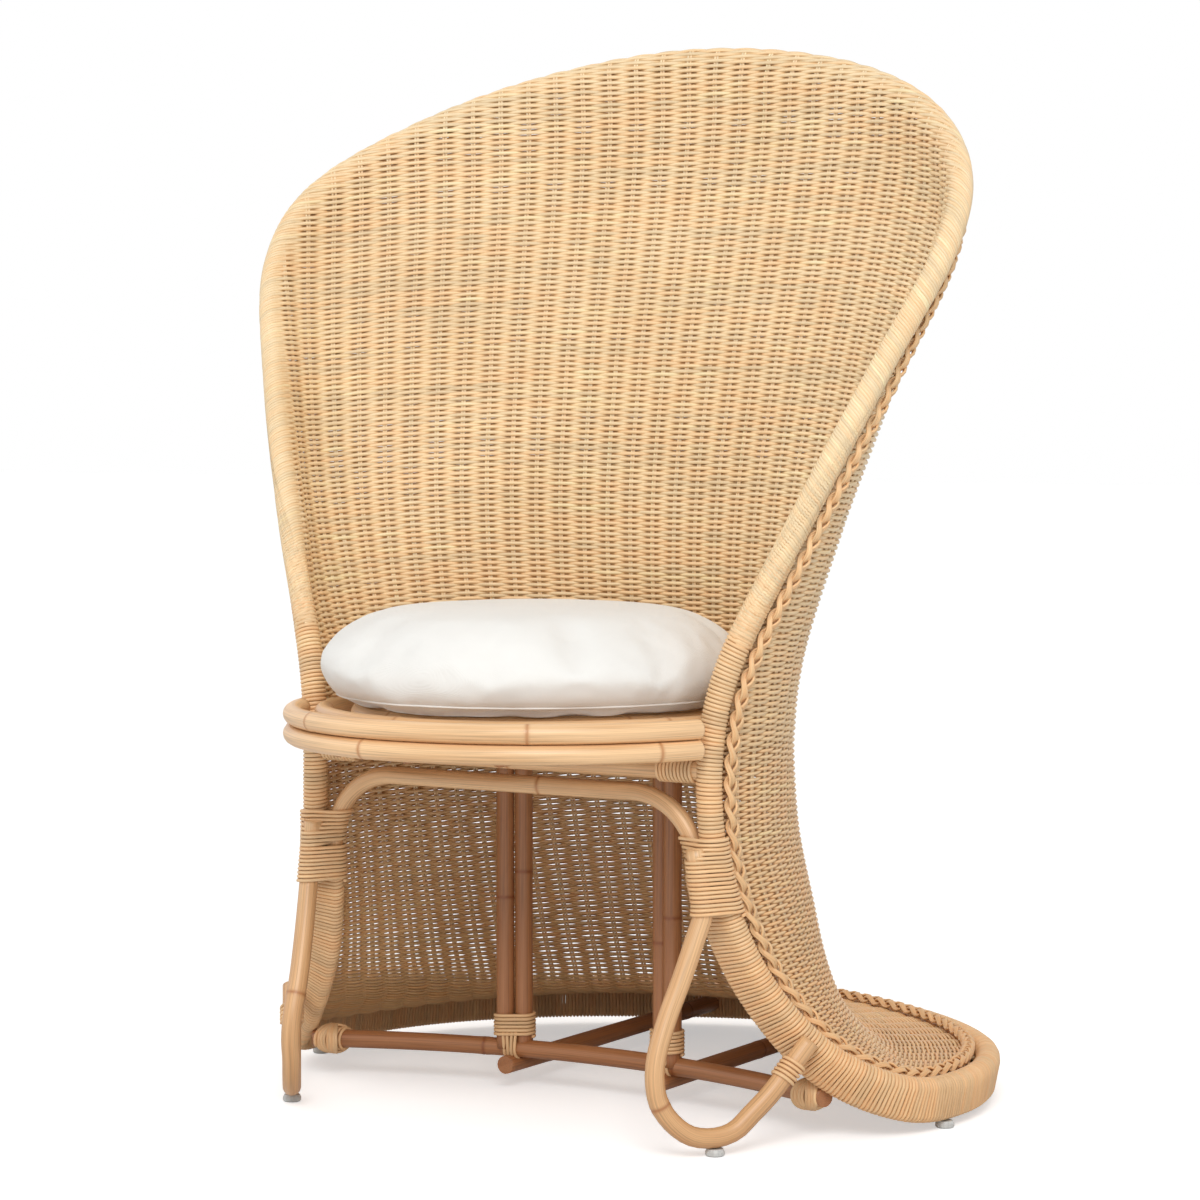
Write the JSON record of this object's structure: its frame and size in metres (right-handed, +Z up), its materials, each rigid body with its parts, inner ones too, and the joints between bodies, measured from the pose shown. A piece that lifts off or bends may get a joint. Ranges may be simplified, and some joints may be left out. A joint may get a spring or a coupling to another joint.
{
  "type": "peacock chair",
  "caption": "Rattan armchair with a tall woven fan back that flows down into a flared woven tail on the floor, a round deck and a loose round cushion.",
  "frame": {"origin": "floor level under the middle of the part's outline", "axes": "+Z up, -Y the way the sitter faces, +X to the right as seen from the front, which is the sitter's left"},
  "size_m": [0.873, 0.8558, 1.1519],
  "materials": {
    "rattan_pole": "satin, honey tan, darker at the nodes",
    "dark_rattan": "satin, red brown",
    "woven_cane": "matt, straw coloured plain weave",
    "braided_cane": "matt, straw coloured flat plait",
    "lashing_cane": "satin, pale tan",
    "cushion_cotton": "matt, off-white cotton",
    "glide_plastic": "matt, pale grey"
  },
  "bodies": {
    "chair": {"rim_pole_back": "rattan_pole", "rim_pole_tail": "rattan_pole", "tail_lower_pole": "rattan_pole", "braid_border": "braided_cane", "back_weave": "woven_cane", "skirt_weave": "woven_cane", "front_bow_lower": "rattan_pole", "front_bow_upper": "rattan_pole", "rear_hoop": "dark_rattan", "seat_bearer_left": "dark_rattan", "seat_bearer_middle": "dark_rattan", "seat_bearer_right": "dark_rattan", "deck_ring_1": "rattan_pole", "deck_ring_2": "rattan_pole", "deck_ring_3": "rattan_pole", "deck_ring_4": "rattan_pole", "deck_ring_5": "rattan_pole", "cross_rail_front": "rattan_pole", "cross_rail_rear": "rattan_pole", "front_arch": "rattan_pole", "leg_loop_left": "rattan_pole", "leg_loop_right": "rattan_pole", "floor_stretcher": "dark_rattan", "post_left_inner": "dark_rattan", "post_left_outer": "dark_rattan", "tail_runner_left": "dark_rattan", "post_right_inner": "dark_rattan", "post_right_outer": "dark_rattan", "tail_runner_right": "dark_rattan", "joint_wrap_left": "lashing_cane", "rail_wrap_left": "lashing_cane", "post_lash_left": "lashing_cane", "heel_lash_left": "lashing_cane", "stretcher_lash_left": "lashing_cane", "joint_wrap_right": "lashing_cane", "rail_wrap_right": "lashing_cane", "post_lash_right": "lashing_cane", "heel_lash_right": "lashing_cane", "stretcher_lash_right": "lashing_cane", "glide_front_left": "glide_plastic", "glide_front_right": "glide_plastic", "glide_rear_left": "glide_plastic", "glide_rear_right": "glide_plastic", "glide_tail": "glide_plastic"},
    "cushion": {"cushion": "cushion_cotton"}
  },
  "joints": [
    {"name": "cushion_lift", "type": "slide", "parent": "chair", "child": "cushion", "axis": [0, 0, 1], "range_m": [0, 0.72]}
  ]
}
